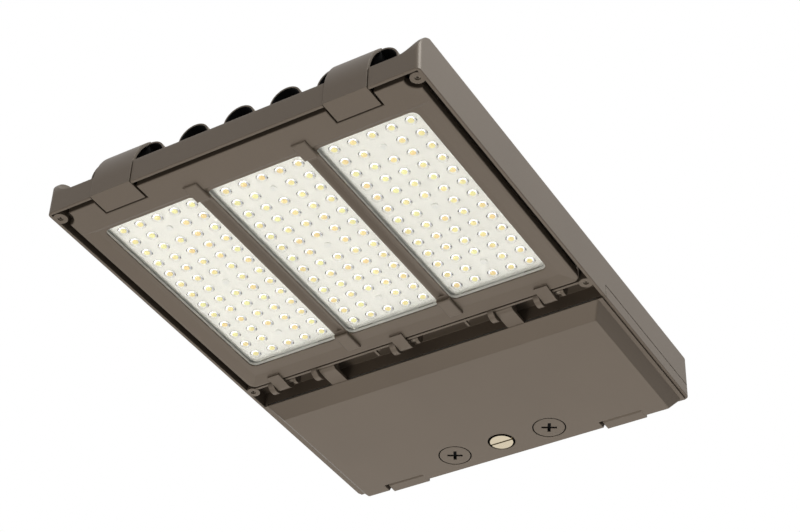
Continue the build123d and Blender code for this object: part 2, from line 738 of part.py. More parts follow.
# Optical door frame with three windows, latch notches and rear hooks
with BuildPart() as led_door_frame:
    with BuildSketch(Plane.XY.offset(frame_low)) as frame_plan:
        with Locations((0, grid_y + (frame_rear - frame_front) / 2)):
            Rectangle(2 * frame_half_width, frame_front + frame_rear)
        fillet(frame_plan.vertices().group_by(Axis.Y)[0], frame_corner)
        fillet(frame_plan.vertices().group_by(Axis.Y)[-1], frame_rear_corner)
        with Locations([spot for spot in boss_spots if spot[1] < grid_y]):
            Circle(boss_radius + scallop_gap, mode=Mode.SUBTRACT)
        notch_reach = toe_end + notch_gap - (grid_y - frame_front)
        with Locations((-latch_x, grid_y - frame_front), (latch_x, grid_y - frame_front)):
            Rectangle(latch_width + 2 * notch_gap, 2 * notch_reach, mode=Mode.SUBTRACT)
        with Locations([(x, grid_y) for x in module_xs]):
            RectangleRounded(lens_view_width, lens_view_length, lens_corner, mode=Mode.SUBTRACT)
    extrude(amount=frame_high - frame_low)
    rim = led_door_frame.faces().sort_by(Axis.Z)[0].outer_wire()
    fillet(rim.edges(), frame_round)
    with BuildSketch(Plane.XY.offset(seal_low)):
        with Locations([(x, grid_y) for x in module_xs]):
            RectangleRounded(pocket_width, pocket_length, lens_corner + lens_overlap)
    extrude(amount=frame_high - seal_low, mode=Mode.SUBTRACT)
    # Shallow dish that slopes down from the windows to the sides and the rear
    dish_levels = (
        (frame_low, dish_half_width, dish_front, dish_rear),
        (frame_low + dish_depth, dish_inner_half_width, dish_inner_front, dish_inner_rear),
    )
    for level, half, front, rear in dish_levels:
        with BuildSketch(Plane.XY.offset(level)):
            with Locations((0, grid_y + (rear - front) / 2)):
                Rectangle(2 * half, front + rear)
    loft(mode=Mode.SUBTRACT)
    # Raised shoulders at both ends of the bars between the windows
    window_end = lens_view_length / 2 - shoulder_bite
    dish_low = frame_low + dish_depth
    for bar_x in (-module_pitch / 2, module_pitch / 2):
        with BuildSketch(Plane.XZ.offset(bar_trough_length / 2 - grid_y)):
            with BuildLine():
                Polyline(
                    (bar_x - bar_trough_width / 2, frame_low),
                    (bar_x - bar_trough_width / 2, dish_low),
                    (bar_x, dish_low + bar_trough_depth),
                    (bar_x + bar_trough_width / 2, dish_low),
                    (bar_x + bar_trough_width / 2, frame_low),
                    close=True,
                )
            make_face()
        extrude(amount=-bar_trough_length, mode=Mode.SUBTRACT)
        shoulder_x = (bar_x - shoulder_width / 2, bar_x + shoulder_width / 2)
        shoulder_z = (frame_low - shoulder_rise, frame_low + dish_depth + frame_lip / 4)
        front_y = (grid_y - window_end - front_shoulder_length, grid_y - window_end)
        rear_y = (grid_y + window_end, grid_y + window_end + rear_shoulder_length)
        span_box(shoulder_x, front_y, shoulder_z)
        span_box(shoulder_x, rear_y, shoulder_z)
    fillet(led_door_frame.edges().group_by(Axis.Z)[0], shoulder_round)
    # Hooks that wrap the hinge pins
    hook_root = grid_y + frame_rear - hook_reach
    hook_high = frame_low + dish_depth + frame_lip
    strap_high = hinge_z - hook_radius + hook_strap
    lead = math.radians(hook_lead_angle)
    hook_touch = (hinge_y - hook_radius * math.sin(lead), hinge_z - hook_radius * math.cos(lead))
    for center in hook_xs:
        with BuildSketch(Plane.YZ.offset(center - hook_width / 2)):
            with Locations((hinge_y, hinge_z)):
                Circle(knuckle_radius)
            with BuildLine():
                CenterArc((hinge_y, hinge_z), hook_radius, 270 - hook_lead_angle, 90 + hook_lead_angle)
                Polyline(hook_touch, (hinge_y, hinge_z), (hinge_y + hook_radius, hinge_z))
            make_face()
            with BuildLine():
                Polyline(
                    (hook_root, hook_high),
                    (hook_root, frame_low - hook_root_drop),
                    hook_touch,
                    (hinge_y, strap_high),
                    (hook_root + hook_reach, strap_high),
                    (hook_root + hook_reach, hook_high),
                    close=True,
                )
            make_face()
        extrude(amount=hook_width)
    disc_cut(hinge_pin_radius + hinge_fit, (-lug_limit, hinge_y, hinge_z), 2 * lug_limit, "x")
save(led_door_frame.part, "led_door_frame")

# Lenses with a dome over each emitter, and the flat seals that they sit on
lens_width = lens_view_width + 2 * lens_overlap
lens_length = lens_view_length + 2 * lens_overlap
dome_sphere = (dome_radius**2 + dome_height**2) / (2 * dome_height)
for module_name, module_x in zip(module_names, module_xs):
    with BuildPart() as lens:
        dome_center = lens_low - dome_height + dome_sphere
        with Locations([(module_x + x, grid_y + y, dome_center) for x, y in emitter_spots]):
            Sphere(dome_sphere)
        with Locations((module_x, grid_y, lens_low + lens_thick / 2 + dome_sphere)):
            Box(lens_width, lens_length, 2 * dome_sphere, mode=Mode.SUBTRACT)
        with BuildSketch(Plane.XY.offset(lens_low)):
            with Locations((module_x, grid_y)):
                RectangleRounded(lens_width, lens_length, lens_corner + lens_overlap)
        extrude(amount=lens_thick)
    save(lens.part, f"lens_{module_name}")

    with BuildPart() as lens_seal:
        with BuildSketch(Plane.XY.offset(seal_low)):
            with Locations((module_x, grid_y)):
                RectangleRounded(lens_width, lens_length, lens_corner + lens_overlap)
                RectangleRounded(lens_view_width, lens_view_length, lens_corner, mode=Mode.SUBTRACT)
        extrude(amount=seal_thick)
    save(lens_seal.part, f"lens_seal_{module_name}")

with BuildPart() as lens_clips:
    clip_y = lens_length / 2 - clip_bite + clip_width / 2
    clip_spots = [
        (x + spread, grid_y + side * clip_y, frame_high + clip_thick / 2)
        for x in module_xs
        for spread in (-clip_spread, clip_spread)
        for side in (-1, 1)
    ]
    with Locations(clip_spots):
        Box(clip_length, clip_width, clip_thick)
save(lens_clips.part, "lens_clips")

with BuildPart() as door_seal:
    with BuildSketch(Plane.XY.offset(frame_high)):
        with Locations((0, grid_y + (door_seal_rear - door_seal_front) / 2)):
            ring_length = door_seal_front + door_seal_rear
            Rectangle(2 * door_seal_half_width + door_seal_width, ring_length + door_seal_width)
            Rectangle(
                2 * door_seal_half_width - door_seal_width,
                ring_length - door_seal_width,
                mode=Mode.SUBTRACT,
            )
    extrude(amount=sink_low - seal_clearance - frame_high)
save(door_seal.part, "door_seal")

# Hinge pins: one for each hook and one for each block of the driver door
with BuildPart() as hinge_pins:
    for width, centers, tail in (
        (hook_width, hook_xs, stay_gap + stay_thick),
        (block_width, block_xs, 0),
    ):
        pin_length = lug_width + knuckle_gap + width + tail
        for center in centers:
            start = center - width / 2 - knuckle_gap - lug_width
            rod(hinge_pin_radius, (start, hinge_y, hinge_z), pin_length, "x")
save(hinge_pins.part, "hinge_pins")

# Front latches: straps that rise over the ridges and turn on pins between two ridges
arc_center = (strap_face + latch_arc, grid_z + latch_bend_rise)
arc_end = 180 - latch_arc_sweep
web_angle = math.radians(180 - latch_web_angle)
web_reach = latch_arc - latch_web / 2 - ear_gap
web_end = (
    arc_center[0] + web_reach * math.cos(web_angle),
    arc_center[1] + web_reach * math.sin(web_angle),
)
for side_name, side in (("left", -1), ("right", 1)):
    with BuildPart() as latch:
        with BuildSketch(Plane.YZ.offset(side * latch_x - latch_width / 2)):
            with Locations((strap_face, frame_low)):
                Rectangle(latch_thick, arc_center[1] - frame_low, align=Align.MIN)
                Rectangle(latch_toe, latch_thick, align=Align.MIN)
            with BuildLine():
                outer = CenterArc(arc_center, latch_arc, arc_end, latch_arc_sweep)
                inner = CenterArc(arc_center, latch_arc - latch_thick, arc_end, latch_arc_sweep)
                Line(outer @ 0, inner @ 0)
                Line(outer @ 1, inner @ 1)
            make_face()
        extrude(amount=latch_width)
        with BuildSketch(Plane.YZ.offset(side * latch_x - latch_knuckle_width / 2)):
            with BuildLine():
                web = Line((latch_pin_y, latch_pin_z), web_end)
            SlotCenterPoint(web @ 0.5, web @ 1, latch_web)
            with Locations((latch_pin_y, latch_pin_z)):
                Circle(latch_knuckle_radius)
        extrude(amount=latch_knuckle_width)
        bore = (side * latch_x - latch_width / 2, latch_pin_y, latch_pin_z)
        disc_cut(latch_pin_radius + hinge_fit, bore, latch_width, "x")
    save(latch.part, f"latch_{side_name}")

    with BuildPart() as latch_pin:
        start = side * latch_x - ear_offset - ear_thick
        rod(latch_pin_radius, (start, latch_pin_y, latch_pin_z), 2 * (ear_offset + ear_thick), "x")
    save(latch_pin.part, f"latch_pin_{side_name}")

# Driver door: a shallow tray with a thin flange, hinge blocks and rear notches
with BuildPart() as driver_door:
    flange_y = (door_front, -flange_rear)
    span_box((-flange_half_width, flange_half_width), flange_y, (flange_low, flange_high))
    tray_half = flange_half_width - tray_side_inset
    tray_levels = (
        (flange_low, tray_half, door_front, -flange_rear - flange_thick),
        (
            tray_low,
            tray_half - tray_side_slope,
            door_front + tray_front_slope,
            -flange_rear - flange_thick - tray_rear_slope,
        ),
    )
    for level, half, front, rear in tray_levels:
        with BuildSketch(Plane.XY.offset(level)):
            with Locations((0, (front + rear) / 2)):
                RectangleRounded(2 * half, rear - front, tray_corner)
    loft()
    fillet(driver_door.edges().group_by(Axis.Z)[0], tray_round)
    cavity_y = (door_front + cavity_front_inset, -bay_rear_opening - cavity_rear_inset)
    cavity_z = (tray_floor_high, flange_high + 1)
    span_box((-cavity_half_width, cavity_half_width), cavity_y, cavity_z, Mode.SUBTRACT)
    for x in (-fastener_x, fastener_x):
        boss = fastener_radius + fastener_recess_gap + fastener_boss_wall
        rod(boss, (x, fastener_y, tray_low), fastener_floor_high - tray_low, "z")
    plug_boss = plug_recess_radius + fastener_boss_wall
    rod(plug_boss, (0, fastener_y, tray_low), plug_floor_high - tray_low, "z")
    for x in (-fastener_x, fastener_x):
        recess = fastener_radius + fastener_recess_gap
        disc_cut(recess, (x, fastener_y, tray_low - 1), 1 + fastener_recess, "z")
        bore_z = flange_high - tray_low + 2
        disc_cut(fastener_shank_radius + fastener_fit, (x, fastener_y, tray_low - 1), bore_z, "z")
    disc_cut(plug_recess_radius, (0, fastener_y, tray_low - 1), 1 + plug_recess, "z")
    disc_cut(plug_shank_radius + plug_shank_fit, (0, fastener_y, tray_low - 1), bore_z, "z")
    for x in (-catch_x, catch_x):
        notch_x = (x - notch_width / 2, x + notch_width / 2)
        span_box(notch_x, (-notch_depth, 1), (tray_low - 1, flange_high + 1), Mode.SUBTRACT)
    for center in block_xs:
        with BuildSketch(Plane.YZ.offset(center - block_width / 2)):
            with Locations((hinge_y, hinge_z)):
                Circle(knuckle_radius)
            with Locations((hinge_y, hinge_z - knuckle_radius)):
                Rectangle(door_front + arm_overlap - hinge_y, arm_thick, align=Align.MIN)
        extrude(amount=block_width)
    disc_cut(hinge_pin_radius + hinge_fit, (-lug_limit, hinge_y, hinge_z), 2 * lug_limit, "x")
save(driver_door.part, "driver_door")

with BuildPart() as bay_seal:
    seal_half = bay_half_opening + bay_seal_margin + bay_seal_width / 2
    seal_front = cross_front + cross_wall / 2
    seal_rear = -bay_rear_opening + bay_seal_margin + bay_seal_width / 2
    with BuildSketch(Plane.XY.offset(flange_high)):
        with Locations((0, (seal_front + seal_rear) / 2)):
            Rectangle(2 * seal_half + bay_seal_width, seal_rear - seal_front + bay_seal_width)
            Rectangle(
                2 * seal_half - bay_seal_width,
                seal_rear - seal_front - bay_seal_width,
                mode=Mode.SUBTRACT,
            )
    extrude(amount=bay_ledge_low - seal_clearance - flange_high)
save(bay_seal.part, "bay_seal")

# Quarter-turn fasteners: cross-slotted discs with a shank and a cam
cam_low = bay_ledge_high + cam_lift
for side_name, side in (("left", -1), ("right", 1)):
    with BuildPart() as quarter_turn:
        spot = (side * fastener_x, fastener_y)
        rod(fastener_radius, (*spot, tray_low), fastener_thick, "z")
        rod(fastener_shank_radius, (*spot, tray_low), cam_low + cam_thick - tray_low, "z")
        cam_x = sorted((spot[0] - side * cam_width / 2, spot[0] + side * cam_reach))
        cam_y = (fastener_y - cam_width / 2, fastener_y + cam_width / 2)
        span_box(cam_x, cam_y, (cam_low, cam_low + cam_thick))
        for length, width in (
            (cross_slot_length, cross_slot_width),
            (cross_slot_width, cross_slot_length),
        ):
            with Locations(Location((*spot, tray_low), (0, 0, cross_slot_turn))):
                Box(length, width, 2 * cross_slot_depth, mode=Mode.SUBTRACT)
    save(quarter_turn.part, f"quarter_turn_{side_name}")

with BuildPart() as fastener_washers:
    with BuildSketch(Plane.XY.offset(fastener_floor_high)):
        with Locations((-fastener_x, fastener_y), (fastener_x, fastener_y)):
            Circle(washer_radius)
            Circle(fastener_shank_radius + fastener_fit, mode=Mode.SUBTRACT)
    extrude(amount=washer_thick)
save(fastener_washers.part, "fastener_washers")

# Slotted plug that closes the port in the driver door, with its washer and nut
plug_low = tray_low - plug_proud
with BuildPart() as port_plug:
    rod(plug_radius, (0, fastener_y, plug_low), plug_head, "z")
    plug_top = plug_floor_high + plug_nut_thick
    rod(plug_shank_radius, (0, fastener_y, plug_low), plug_top - plug_low, "z")
    with Locations((0, fastener_y, plug_low)):
        Box(2 * plug_radius, plug_slot_width, 2 * plug_slot_depth, mode=Mode.SUBTRACT)
save(port_plug.part, "port_plug")

with BuildPart() as plug_washer_ring:
    with BuildSketch(Plane.XY.offset(plug_low + plug_head)):
        with Locations((0, fastener_y)):
            Circle(plug_radius)
            Circle(plug_shank_radius + plug_shank_fit, mode=Mode.SUBTRACT)
    extrude(amount=plug_washer)
save(plug_washer_ring.part, "plug_washer")

with BuildPart() as plug_nut:
    with BuildSketch(Plane.XY.offset(plug_floor_high)):
        with Locations((0, fastener_y)):
            RegularPolygon(plug_nut_radius, 6)
            Circle(plug_shank_radius, mode=Mode.SUBTRACT)
    extrude(amount=plug_nut_thick)
save(plug_nut.part, "plug_nut")

# Driver gear on a plate under the bay's deck
with BuildPart() as gear_plate:
    plate_y = (plate_front, plate_front + plate_length)
    span_box((-plate_half_width, plate_half_width), plate_y, (plate_low, deck_low))
    for spot in plate_screw_spots:
        disc_cut(plate_screw_radius, (*spot, plate_low - 1), plate_thick + 2, "z")
save(gear_plate.part, "gear_plate")

with BuildPart() as gear_plate_screws:
    for spot in plate_screw_spots:
        rod(plate_screw_head_radius, (*spot, plate_low - plate_screw_head), plate_screw_head, "z")
        rod(plate_screw_radius, (*spot, plate_low), plate_thick + plate_screw_bite, "z")
save(gear_plate_screws.part, "gear_plate_screws")

with BuildPart() as led_driver:
    driver_y = (driver_front, driver_front + driver_length)
    span_box((-driver_width / 2, driver_width / 2), driver_y, (plate_low - driver_height, plate_low))
    fillet(led_driver.edges().group_by(Axis.Z)[0], driver_round)
save(led_driver.part, "led_driver")

with BuildPart() as surge_protector:
    with Locations((surge_x, gear_y, plate_low - surge_height / 2)):
        Box(surge_width, surge_length, surge_height)
    fillet(surge_protector.edges().group_by(Axis.Z)[0], driver_round)
save(surge_protector.part, "surge_protector")

with BuildPart() as terminal_block:
    with Locations((terminal_x, gear_y, plate_low - terminal_height / 2)):
        Box(terminal_width, terminal_length, terminal_height)
    way_pitch = terminal_width / terminal_ways
    way_xs = [terminal_x + (way - (terminal_ways - 1) / 2) * way_pitch for way in range(terminal_ways)]
    for x in way_xs:
        mouth = (x, gear_y - terminal_length / 2 - 1, plate_low - terminal_height / 2)
        disc_cut(way_pitch / 4, mouth, terminal_length / 2, "y")
        screw_well = (x, gear_y, plate_low - terminal_height - 1)
        disc_cut(way_pitch / 4, screw_well, terminal_height / 4, "z")
save(terminal_block.part, "terminal_block")

# Lead from the driver through the cross wall and the heat sink to the boards
lead_z = grid_z + lead_rise
lead_y = grid_y + lead_down
with BuildPart() as led_lead:
    with BuildLine():
        FilletPolyline(
            (lead_x, driver_front, lead_z),
            (lead_x, lead_y, lead_z),
            (lead_x, lead_y, sink_low),
            radius=lead_bend,
        )
    with BuildSketch(Plane(origin=(lead_x, driver_front, lead_z), z_dir=(0, -1, 0))):
        Circle(lead_radius)
    sweep()
save(led_lead.part, "led_lead")

with BuildPart() as lead_grommet:
    rod(grommet_radius, (lead_x, cross_front, lead_z), cross_wall, "y")
    for face_y in (cross_front - grommet_flange_thick, cross_rear):
        flange = (lead_x, face_y, lead_z)
        rod(grommet_radius + grommet_flange, flange, grommet_flange_thick, "y")
    bore_start = (lead_x, cross_front - 2 * grommet_flange_thick, lead_z)
    disc_cut(lead_radius + grommet_fit, bore_start, cross_wall + 4 * grommet_flange_thick, "y")
save(lead_grommet.part, "lead_grommet")

with BuildPart() as lead_connector:
    with Locations((lead_x, lead_y, sink_low - connector_height / 2)):
        Box(connector_width, connector_length, connector_height)
save(lead_connector.part, "lead_connector")
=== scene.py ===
"""Looks, light and camera for the outdoor area light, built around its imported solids."""

import logging
import math
from dataclasses import dataclass
from enum import Enum

import bmesh
import bpy
from mathutils import Matrix, Vector


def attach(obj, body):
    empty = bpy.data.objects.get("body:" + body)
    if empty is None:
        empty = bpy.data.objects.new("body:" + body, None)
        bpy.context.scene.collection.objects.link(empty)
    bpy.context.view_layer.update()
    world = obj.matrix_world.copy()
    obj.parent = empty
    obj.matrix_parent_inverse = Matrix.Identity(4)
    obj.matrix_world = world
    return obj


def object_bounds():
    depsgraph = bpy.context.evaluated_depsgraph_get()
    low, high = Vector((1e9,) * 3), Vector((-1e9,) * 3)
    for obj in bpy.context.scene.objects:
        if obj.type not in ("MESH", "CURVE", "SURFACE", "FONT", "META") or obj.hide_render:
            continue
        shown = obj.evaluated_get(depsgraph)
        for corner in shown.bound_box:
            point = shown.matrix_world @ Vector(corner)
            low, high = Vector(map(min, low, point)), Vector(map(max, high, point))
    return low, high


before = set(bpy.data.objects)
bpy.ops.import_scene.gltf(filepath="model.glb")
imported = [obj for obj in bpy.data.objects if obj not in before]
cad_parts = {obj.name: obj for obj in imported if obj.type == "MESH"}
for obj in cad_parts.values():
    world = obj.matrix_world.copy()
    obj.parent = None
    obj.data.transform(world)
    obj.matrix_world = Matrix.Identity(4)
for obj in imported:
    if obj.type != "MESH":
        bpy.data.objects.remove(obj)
CAD_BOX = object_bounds()
LOG = logging.getLogger("area_light")

Triple = tuple[float, float, float]
Value = bpy.types.NodeSocket | float

FULL_LEVEL = 255
DISPLAY_KNEE = 0.04045
DISPLAY_SLOPE = 12.92
DISPLAY_OFFSET = 0.055
DISPLAY_POWER = 2.4

MIX_BASE_INPUT = 6
MIX_COLOUR_INPUT = 7
MIX_COLOUR_OUTPUT = 2


class Side(Enum):
    """The two sides that the latches and the quarter-turn fasteners stand on."""

    LEFT = "left"
    RIGHT = "right"


class Module(Enum):
    """The three light modules, with their places across the door in module pitches."""

    LEFT = -1
    CENTER = 0
    RIGHT = 1

    @property
    def word(self) -> str:
        """Return the module's word in the node names."""
        return self.name.lower()


def linear(red: int, green: int, blue: int) -> Triple:
    """Turn a display colour into the linear values that shaders use.

    Args:
        red: Red level, 0 to 255.
        green: Green level, 0 to 255.
        blue: Blue level, 0 to 255.

    Returns:
        The three linear values.
    """
    values = []
    for level in (red, green, blue):
        share = level / FULL_LEVEL
        if share <= DISPLAY_KNEE:
            values.append(share / DISPLAY_SLOPE)
        else:
            values.append(((share + DISPLAY_OFFSET) / (1 + DISPLAY_OFFSET)) ** DISPLAY_POWER)
    return tuple(values)


def opaque(colour: Triple) -> tuple[float, float, float, float]:
    """Return a colour with full opacity."""
    return (*colour, 1.0)


def mesh_object(name: str, shape: bmesh.types.BMesh) -> bpy.types.Object:
    """Turn a finished bmesh into an object of the scene.

    Args:
        name: The object's name.
        shape: The bmesh, which is freed.

    Returns:
        The new object, at the origin.
    """
    mesh = bpy.data.meshes.new(name)
    shape.to_mesh(mesh)
    shape.free()
    obj = bpy.data.objects.new(name, mesh)
    bpy.context.scene.collection.objects.link(obj)
    return obj


class ShaderTree:
    """A node tree with short calls to add nodes and join their sockets."""

    def __init__(self, tree: bpy.types.NodeTree) -> None:
        """Keep the tree that the calls work on."""
        self.tree = tree

    def add(self, kind: str, **values: object) -> bpy.types.Node:
        """Add a node and set its properties or its unlinked inputs.

        Args:
            kind: Blender's node type name.
            values: Property names, or input names with underscores for spaces.

        Returns:
            The new node.
        """
        node = self.tree.nodes.new(kind)
        for key, value in values.items():
            if hasattr(node, key):
                setattr(node, key, value)
            else:
                node.inputs[key.replace("_", " ")].default_value = value
        return node

    def join(self, source: bpy.types.NodeSocket, target: bpy.types.NodeSocket) -> None:
        """Link one socket to another."""
        self.tree.links.new(source, target)

    def math(self, operation: str, first: Value, second: Value = 0.0) -> bpy.types.NodeSocket:
        """Add a Math node.

        Args:
            operation: The node's operation.
            first: A socket or a number.
            second: A socket or a number, where the operation has two.

        Returns:
            The node's result socket.
        """
        node = self.add("ShaderNodeMath", operation=operation)
        for slot, value in zip(node.inputs, (first, second)):
            if isinstance(value, bpy.types.NodeSocket):
                self.join(value, slot)
            else:
                slot.default_value = value
        return node.outputs[0]

    def blend(
        self, share: bpy.types.NodeSocket, base: bpy.types.NodeSocket, colour: Triple
    ) -> bpy.types.NodeSocket:
        """Add a Mix node that fades a colour socket into a fixed colour.

        Args:
            share: The socket with the fixed colour's share.
            base: The socket with the colour that shows at a share of 0.
            colour: The fixed colour, which shows at a share of 1.

        Returns:
            The socket with the mixed colour.
        """
        mix = self.add("ShaderNodeMix", data_type="RGBA")
        self.join(share, mix.inputs["Factor"])
        self.join(base, mix.inputs[MIX_BASE_INPUT])
        mix.inputs[MIX_COLOUR_INPUT].default_value = opaque(colour)
        return mix.outputs[MIX_COLOUR_OUTPUT]

    def split_place(self) -> bpy.types.Node:
        """Add nodes that split the object's own coordinates.

        Returns:
            The node with the outputs X, Y and Z.
        """
        place = self.add("ShaderNodeTexCoord")
        split = self.add("ShaderNodeSeparateXYZ")
        self.join(place.outputs["Object"], split.inputs["Vector"])
        return split

    def direct_rays(self) -> bpy.types.NodeSocket:
        """Add a mask that is 1 for the rays that show a surface in the picture.

        Returns:
            The socket with the mask for camera, glossy and transmission rays.
        """
        path = self.add("ShaderNodeLightPath")
        bent = self.math("MAXIMUM", path.outputs["Is Glossy Ray"], path.outputs["Is Transmission Ray"])
        return self.math("MAXIMUM", path.outputs["Is Camera Ray"], bent)


class SharedGroup:
    """A node group that is built once and used by several finishes."""

    NAME: str

    @classmethod
    def get(cls) -> bpy.types.NodeTree:
        """Return the node group, built on its first use."""
        return bpy.data.node_groups.get(cls.NAME) or cls.build()

    @classmethod
    def build(cls) -> bpy.types.NodeTree:
        """Build the group, which each kind of group does in its own way."""
        raise NotImplementedError

    @classmethod
    def start(
        cls, inputs: dict[str, str], outputs: dict[str, str]
    ) -> tuple[ShaderTree, bpy.types.Node, bpy.types.Node]:
        """Make the empty group with its sockets.

        Args:
            inputs: The kind of each input by its name.
            outputs: The kind of each output by its name.

        Returns:
            The group's tree, its inlet node and its outlet node.
        """
        group = bpy.data.node_groups.new(cls.NAME, "ShaderNodeTree")
        for way, sockets in (("INPUT", inputs), ("OUTPUT", outputs)):
            for name, kind in sockets.items():
                group.interface.new_socket(name, in_out=way, socket_type=f"NodeSocket{kind}")
        tree = ShaderTree(group)
        return tree, tree.add("NodeGroupInput"), tree.add("NodeGroupOutput")


class GrainGroup(SharedGroup):
    """Fine unevenness of a sprayed or moulded surface, shared by all the finishes."""

    NAME = "surface_grain"
    CLOUD_SCALE = 14.0
    CLOUD_DETAIL = 3.0
    FINE_DETAIL = 2.0
    NOISE_MIDDLE = 0.5

    @classmethod
    def build(cls) -> bpy.types.NodeTree:
        """Build the group: a coarse cloud for the tone and a fine one for height and gloss.

        Returns:
            The new node group.
        """
        levels = dict.fromkeys(("Tone Depth", "Grain Scale", "Roughness", "Gloss Depth"), "Float")
        tree, inlet, outlet = cls.start(
            {"Colour": "Color", **levels},
            {"Colour": "Color", "Height": "Float", "Roughness": "Float"},
        )
        place = tree.add("ShaderNodeTexCoord")
        cloud = tree.add("ShaderNodeTexNoise", Scale=cls.CLOUD_SCALE, Detail=cls.CLOUD_DETAIL)
        fine = tree.add("ShaderNodeTexNoise", Detail=cls.FINE_DETAIL)
        tree.join(place.outputs["Object"], cloud.inputs["Vector"])
        tree.join(place.outputs["Object"], fine.inputs["Vector"])
        tree.join(inlet.outputs["Grain Scale"], fine.inputs["Scale"])
        swing = tree.math("SUBTRACT", cloud.outputs["Fac"], cls.NOISE_MIDDLE)
        tone = tree.math("MULTIPLY", swing, inlet.outputs["Tone Depth"])
        shade = tree.add("ShaderNodeHueSaturation")
        tree.join(inlet.outputs["Colour"], shade.inputs["Color"])
        tree.join(tree.math("ADD", tone, 1.0), shade.inputs["Value"])
        flicker = tree.math("SUBTRACT", fine.outputs["Fac"], cls.NOISE_MIDDLE)
        gloss = tree.math("MULTIPLY", flicker, inlet.outputs["Gloss Depth"])
        tree.join(tree.math("ADD", gloss, inlet.outputs["Roughness"]), outlet.inputs["Roughness"])
        tree.join(shade.outputs["Color"], outlet.inputs["Colour"])
        tree.join(fine.outputs["Fac"], outlet.inputs["Height"])
        return tree.tree


class EdgeGroup(SharedGroup):
    """Rounded edges of castings: a bevelled normal, and a mask where a painted highlight lightens them.
    """

    NAME = "rounded_edges"
    BEVEL_SAMPLES = 4
    EDGE_GAIN = 4.0

    @classmethod
    def build(cls) -> bpy.types.NodeTree:
        """Build the group: a bevelled normal, and a mask where it leaves the flat one.

        Returns:
            The new node group.
        """
        tree, inlet, outlet = cls.start({"Radius": "Float"}, {"Normal": "Vector", "Edge": "Float"})
        rounded = tree.add("ShaderNodeBevel", samples=cls.BEVEL_SAMPLES)
        flat = tree.add("ShaderNodeNewGeometry")
        facing = tree.add("ShaderNodeVectorMath", operation="DOT_PRODUCT")
        tree.join(inlet.outputs["Radius"], rounded.inputs["Radius"])
        tree.join(rounded.outputs["Normal"], facing.inputs[0])
        tree.join(flat.outputs["Normal"], facing.inputs[1])
        turned = tree.math("SUBTRACT", 1.0, facing.outputs["Value"])
        edge = tree.math("MULTIPLY", turned, cls.EDGE_GAIN)
        tree.join(tree.math("MINIMUM", edge, 1.0), outlet.inputs["Edge"])
        tree.join(rounded.outputs["Normal"], outlet.inputs["Normal"])
        return tree.tree


@dataclass(frozen=True)
class Finish:
    """A surface finish with its colour, gloss and grain."""

    name: str
    colour: Triple
    roughness: float = 0.5
    metallic: float = 0.0
    tone_depth: float = 0.12
    grain_scale: float = 900.0
    grain_depth: float = 0.00003
    gloss_depth: float = 0.1

    def shader(self) -> tuple[bpy.types.Material, ShaderTree, bpy.types.Node]:
        """Make an empty material with one Principled shader.

        Returns:
            The material, its tree and the Principled node.
        """
        material = bpy.data.materials.new(self.name)
        material.use_nodes = True
        material.diffuse_color = opaque(self.colour)
        tree = ShaderTree(material.node_tree)
        surface = material.node_tree.nodes["Principled BSDF"]
        surface.inputs["Roughness"].default_value = self.roughness
        surface.inputs["Metallic"].default_value = self.metallic
        return material, tree, surface

    def grain(self, tree: ShaderTree, surface: bpy.types.Node) -> tuple[bpy.types.Node, bpy.types.Node]:
        """Give the shader its uneven tone and gloss and its fine bump.

        Args:
            tree: The material's tree.
            surface: The Principled node.

        Returns:
            The grain group's node and the bump node.
        """
        grain = tree.add("ShaderNodeGroup", node_tree=GrainGroup.get())
        grain.inputs["Colour"].default_value = opaque(self.colour)
        grain.inputs["Tone Depth"].default_value = self.tone_depth
        grain.inputs["Grain Scale"].default_value = self.grain_scale
        grain.inputs["Roughness"].default_value = self.roughness
        grain.inputs["Gloss Depth"].default_value = self.gloss_depth
        bump = tree.add("ShaderNodeBump", Distance=self.grain_depth)
        tree.join(grain.outputs["Height"], bump.inputs["Height"])
        tree.join(bump.outputs["Normal"], surface.inputs["Normal"])
        tree.join(grain.outputs["Colour"], surface.inputs["Base Color"])
        tree.join(grain.outputs["Roughness"], surface.inputs["Roughness"])
        return grain, bump

    def material(self) -> bpy.types.Material:
        """Make the finish as a material.

        Returns:
            The new material.
        """
        material, tree, surface = self.shader()
        self.grain(tree, surface)
        return material


@dataclass(frozen=True)
class CastCoat(Finish):
    """Powder coat on a casting, with a painted highlight that makes its rounded edges read a little
    lighter.
    """

    edge_radius: float = 0.0007
    # Lighter colour painted on rounded edges as a highlight, and its share.
    edge_highlight_colour: Triple = linear(150, 138, 122)
    edge_highlight_share: float = 0.3
    # Black that paints the shade of deep hollows.
    black: Triple = (0.004, 0.004, 0.004)

    def coat(self, tree: ShaderTree, surface: bpy.types.Node) -> bpy.types.NodeSocket:
        """Add the grain, the bevelled edges and their painted highlight to the shader.

        Args:
            tree: The material's tree.
            surface: The Principled node.

        Returns:
            The socket with the coat's colour.
        """
        grain, bump = self.grain(tree, surface)
        edges = tree.add("ShaderNodeGroup", node_tree=EdgeGroup.get())
        edges.inputs["Radius"].default_value = self.edge_radius
        tree.join(edges.outputs["Normal"], bump.inputs["Normal"])
        # Painted highlight: lighten the coat toward the edge colour where the bevel turns the normal.
        share = tree.math("MULTIPLY", edges.outputs["Edge"], self.edge_highlight_share)
        colour = tree.blend(share, grain.outputs["Colour"], self.edge_highlight_colour)
        tree.join(colour, surface.inputs["Base Color"])
        return colour

    def paint_hollow_shade(self, tree: ShaderTree, surface: bpy.types.Node, mask: bpy.types.NodeSocket) -> None:
        """Paint shade: turn the coat matt black where a mask is 1, as the shade in deep hollows.

        Args:
            tree: The material's tree.
            surface: The Principled node.
            mask: The socket with the mask.
        """
        colour = tree.blend(mask, self.coat(tree, surface), self.black)
        tree.join(colour, surface.inputs["Base Color"])
        tree.join(tree.math("MAXIMUM", mask, self.roughness), surface.inputs["Roughness"])

    def material(self) -> bpy.types.Material:
        """Make the coat as a material.

        Returns:
            The new material.
        """
        material, tree, surface = self.shader()
        self.coat(tree, surface)
        return material


